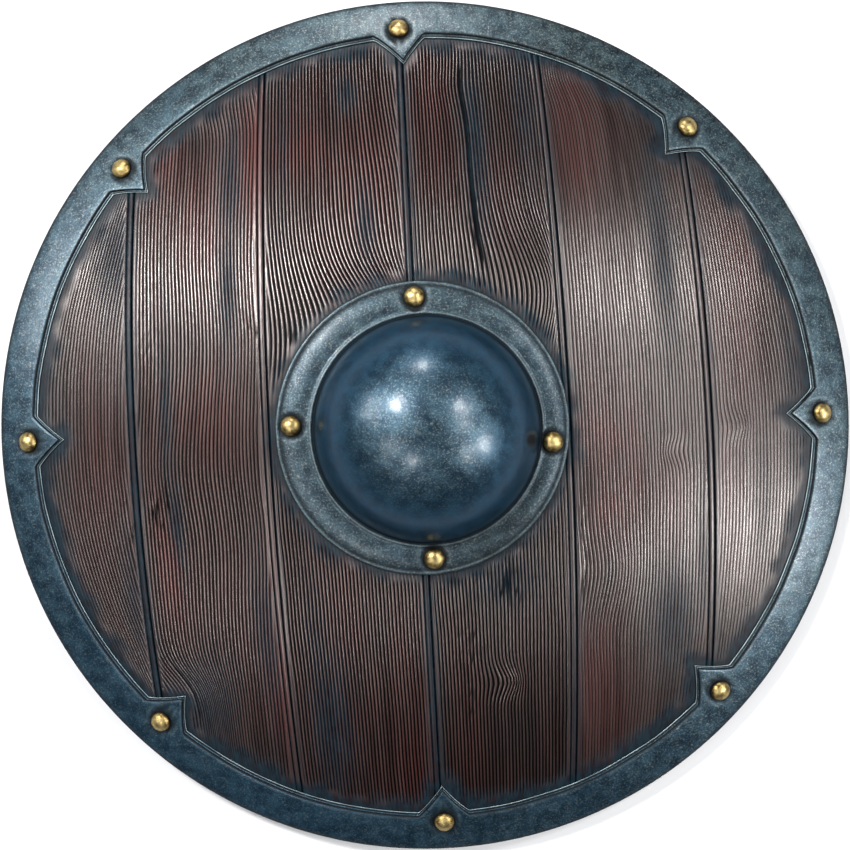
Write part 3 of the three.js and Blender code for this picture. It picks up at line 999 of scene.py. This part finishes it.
def make_boss():
    bm = spun(boss_profile(), BOSS_STEPS)
    marks = mark_layer(bm)
    seats = list(boss_spots.values())
    inwards = (DOME_CENTRE - boss_spots["right"]).normalized()
    dented = boss_spots["right"] + inwards * DENT_INSET
    for vert in bm.verts:
        x, y, height = vert.co
        distance = math.hypot(x, y)
        spread = smooth((distance - DOME_RADIUS) / (FLANGE_RADIUS - DOME_RADIUS))
        centre = DOME_CENTRE.lerp(FLANGE_CENTRE, spread)
        x, y = x + centre.x, y + centre.y
        wear_and_highlight, grime_and_shade, pale = 0.0, 0.0, 0.5 * smooth((height - 34) / 26)
        dent = bell((Vector((x, y)) - dented).length, DENT_REACH)
        if height > GAP + FLANGE_THICKNESS and distance > 60:
            x -= DENT_DEPTH * dent
            # Painted shade darkens the dent.
            grime_and_shade = min(1, 1.5 * dent)
        outside_foot = height > GAP + 1.2 and distance > DOME_RADIUS - 2.0
        if outside_foot or height > DOME_HEIGHT * 0.5 or distance > 99:
            seat = min((Vector((x, y)) - spot).length for spot in seats)
            if distance > FLANGE_START:
                height += seat_dip(seat) * smooth((distance - FLANGE_START) / 2)
                seat_shade, lip = seat_marks(seat)
                # Painted highlights: thin light lines along the inner and outer beads; the seat's lip is
                # wear.
                inner_bead_highlight = 0.3 * bell(distance - INNER_BEAD, 0.6)
                wear_and_highlight = max(lip, inner_bead_highlight, 0.22 * bell(distance - OUTER_BEAD, 0.5))
                pale = 0.7
                # The flange is darkened a little all over, and more toward the lower right as painted
                # shade.
                darker_to_lower_right = 0.2 + 0.24 * max(0, (x - y) / 140) + 0.1 * waver(x / 15, y / 15, 31)
                grime_and_shade = max(grime_and_shade, seat_shade, darker_to_lower_right)
            # Painted shade in the dent and painted shadow along the rings.
            grime_and_shade = max(grime_and_shade, dent, *(bell(distance - ring, width) for ring, width in SHADOW_RINGS))
            height += 0.22 * waver(x / 13, y / 13, 12) + 0.1 * waver(x / 4, y / 4, 15)
        vert.co = (x, y, dome_z(FACE_CURVE, math.hypot(x, y)) + height)
        vert[marks] = (max(0, min(1, wear_and_highlight)), min(1, grime_and_shade), pale, 1)
    return finished(bm, "hammered_boss", IRON, ["boss"])


make_boss()

# ---- The rivets ----
RIVET_STEPS = 40
HEAD_SINK = 0.9  # how far a head's skirt goes down into its seat


def rivet_profile(front, back):
    """(radius, height from the board's face) of a rivet from its crown down to its clenched tail."""
    profile = [(0, front + RIVET_HEAD_HEIGHT)]
    for degrees in range(80, 0, -9):
        angle = math.radians(degrees)
        profile.append((RIVET_HEAD_RADIUS * math.cos(angle), front + RIVET_HEAD_HEIGHT * math.sin(angle)))
    sunk = front - HEAD_SINK
    profile += [(RIVET_HEAD_RADIUS, front - 0.2), (RIVET_HEAD_RADIUS - 0.2, sunk + 0.2), (6.3, sunk)]
    profile += [(RIVET_SHANK_RADIUS, sunk), (RIVET_SHANK_RADIUS, back), (3.6, back)]
    profile += [(RIVET_TAIL_RADIUS, back - 0.5), (3.7, back - 1.1), (2.4, back - 1.6)]
    profile.append((0, back - RIVET_TAIL_HEIGHT))
    return profile


def make_rivet(name, spot, front, back, seed):
    bm = spun(rivet_profile(front, back), RIVET_STEPS)
    marks = mark_layer(bm)
    for vert in bm.verts:
        height = vert.co.z - front
        dent = 0.22 * waver(vert.co.x / 3.6, vert.co.y / 3.6, seed)
        # Painted shade darkens the head's foot where it meets the iron.
        grime_and_shade = bell(max(0, height + 0.2), 0.9) if height > -HEAD_SINK - 0.1 else 0.6
        if height > 0:
            vert.co.z += dent * smooth(height / 2)
        vert[marks] = (smooth((height - 3.2) / 1.6), grime_and_shade, 0, 1)
    place = Vector((spot.x, spot.y, dome_z(FACE_CURVE, spot.length)))
    outward = place - Vector((0, 0, CURVE_CENTRE_Z))
    turn = outward.to_track_quat("Z", "Y").to_matrix().to_4x4()
    bmesh.ops.transform(bm, matrix=Matrix.Translation(place) @ turn, verts=bm.verts)
    return finished(bm, f"{name}_brass", BRASS, [name])


def make_rivets():
    under_board = -BOARD_THICKNESS - GAP
    for seed, (place, spot) in enumerate(rim_spots.items()):
        back = under_board - RIM_LIP - GAP
        make_rivet(f"rim_rivet_{place}", spot, RIM_PLATE + 2 * GAP, back, seed)
    for seed, (place, spot) in enumerate(boss_spots.items(), 20):
        through_grip = place in ("left", "right")
        back = under_board - (GRIP["thick"] + GAP if through_grip else 0)
        make_rivet(f"boss_rivet_{place}", spot, FLANGE_THICKNESS + 2 * GAP, back, seed)


make_rivets()


# ---- The battens ----
BATTEN_STEPS = 90
BATTEN_SIDES = 32


def grip_section(distance):
    slab = smooth((distance - HAND_HOLE_RADIUS + 18) / 20)
    end = smooth((distance - GRIP["half"] + 140) / 140)
    width = lerp(GRIP["bar_width"], GRIP["width"], slab) * lerp(1, 0.7, end)
    thick = lerp(GRIP["bar_thick"], GRIP["thick"], slab) * lerp(1, 0.6, end)
    return width, thick, lerp(0.2, 0.93, slab)


def cross_section(distance):
    end = smooth((distance - CROSS_BATTEN["half"] + 40) / 40)
    return CROSS_BATTEN["width"], CROSS_BATTEN["thick"] * lerp(1, 0.6, end), 0.93


def make_batten(node, line, half, section, seed):
    """A batten along X against the board's back, from a many-sided bar squared up by its section."""
    bm = bmesh.new()
    bmesh.ops.create_cone(bm, cap_ends=True, segments=BATTEN_SIDES, radius1=1, radius2=1, depth=2)
    bmesh.ops.transform(bm, matrix=Matrix.Rotation(math.pi / BATTEN_SIDES, 4, "Z"), verts=bm.verts)
    lengthwise = [edge for edge in bm.edges if edge.calc_length() > 1.9]
    bmesh.ops.subdivide_edges(bm, edges=lengthwise, cuts=BATTEN_STEPS - 1)
    grain = bm.verts.layers.float_vector.new("grain")
    for vert in bm.verts:
        along = vert.co.z * half
        end_ease = 1 - 0.12 * smooth((abs(along) - half + 4) / 4)
        width, thick, square = section(abs(along))
        reach = max(abs(vert.co.x), abs(vert.co.y))
        push = lerp(1, 1 / reach, square) * end_ease
        across, rise = vert.co.x * push, vert.co.y * push
        y = across * width / 2 + line
        top = dome_z(BACK_CURVE - GAP, math.hypot(along, y))
        plane_mark = 0.15 * waver(along / 30, y / 6, seed) if rise < 0 else 0
        vert.co = (along, y, top - thick / 2 * (1 - rise) + plane_mark)
        vert[grain] = (along, y, rise * thick / 2 + seed * 40)
    bmesh.ops.recalc_face_normals(bm, faces=bm.faces)
    return finished(bm, f"{node}_oak", BATTEN_OAK, [node])


make_batten("grip_batten", GRIP_LINE, GRIP["half"], grip_section, 1)
for batten_seed, batten_name in enumerate(("upper_cross_batten", "lower_cross_batten"), 2):
    batten_low, batten_high = node_box(batten_name)
    batten_line = (batten_low.y + batten_high.y) / 2
    make_batten(batten_name, batten_line, CROSS_BATTEN["half"], cross_section, batten_seed)


# ---- Floor, light and camera, in metres ----
FLOOR_HALF = 8
FLOOR_DROP = 0.0005  # below the shield's foot
LAMP_DISTANCE = 2.0
LAMP_AIM = Vector((0, 0, 0.06))  # the point that every lamp faces


def lay_floor():
    bm = bmesh.new()
    bmesh.ops.create_grid(bm, x_segments=1, y_segments=1, size=FLOOR_HALF)
    bmesh.ops.translate(bm, verts=bm.verts, vec=(0, 0, -FLOOR_DROP))
    mesh = bpy.data.meshes.new("floor")
    bm.to_mesh(mesh)
    bm.free()
    mesh.materials.append(pale_floor())
    floor = bpy.data.objects.new("floor", mesh)
    bpy.context.scene.collection.objects.link(floor)


def hang_light(name, tilt, bearing, size, power):
    """A square soft light, so many degrees from overhead, on a bearing from +X, facing the shield."""
    data = bpy.data.lights.new(name, "AREA")
    data.size = size
    data.energy = power
    lamp = bpy.data.objects.new(name, data)
    a, b = math.radians(tilt), math.radians(bearing)
    towards = Vector((math.sin(a) * math.cos(b), math.sin(a) * math.sin(b), math.cos(a)))
    lamp.location = towards * LAMP_DISTANCE + LAMP_AIM
    lamp.rotation_mode = "QUATERNION"
    lamp.rotation_quaternion = towards.to_track_quat("Z", "Y")
    lamp.visible_camera = False
    bpy.context.scene.collection.objects.link(lamp)


def set_lights():
    hang_light("lamp_upper_left", 36, 138, 0.32, 42)
    hang_light("lamp_upper_right", 38, 30, 0.35, 18)
    hang_light("lamp_near_right", 35, 4, 0.4, 7)
    hang_light("lamp_lower_right", 45, -33, 0.35, 5.5)
    hang_light("lamp_lower_left", 33, -118, 0.3, 9)
    hang_light("lamp_near_left", 37, -157, 0.6, 7.5)
    hang_light("lamp_top", 62, 92, 0.3, 17)
    hang_light("lamp_right", 56, -18, 0.4, 22)
    hang_light("lamp_left", 56, 157, 0.6, 15)
    world = bpy.data.worlds.new("studio")
    world.use_nodes = True
    world.node_tree.nodes["Background"].inputs["Color"].default_value = (0.86, 0.93, 1.0, 1)
    world.node_tree.nodes["Background"].inputs["Strength"].default_value = 0.1
    bpy.context.scene.world = world


CAMERA_HEIGHT = 1.5  # above the rim's upper edge
CAMERA_ROLL = -3.0
HALF_FRAME = SHIELD_RADIUS * MM * 1.0014  # what half of the frame's width takes in at the rim


def set_camera():
    data = bpy.data.cameras.new("camera")
    data.lens = data.sensor_width / 2 * CAMERA_HEIGHT / HALF_FRAME
    camera = bpy.data.objects.new("camera", data)
    rim_edge = dome_z(FACE_CURVE + RIM_TOP, SHIELD_RADIUS) * MM
    camera.location = (0, 0, rim_edge + CAMERA_HEIGHT)
    camera.rotation_euler = (0, 0, math.radians(CAMERA_ROLL))
    bpy.context.scene.collection.objects.link(camera)
    bpy.context.scene.camera = camera


lay_floor()
set_lights()
set_camera()
bpy.context.scene.view_settings.view_transform = "Standard"
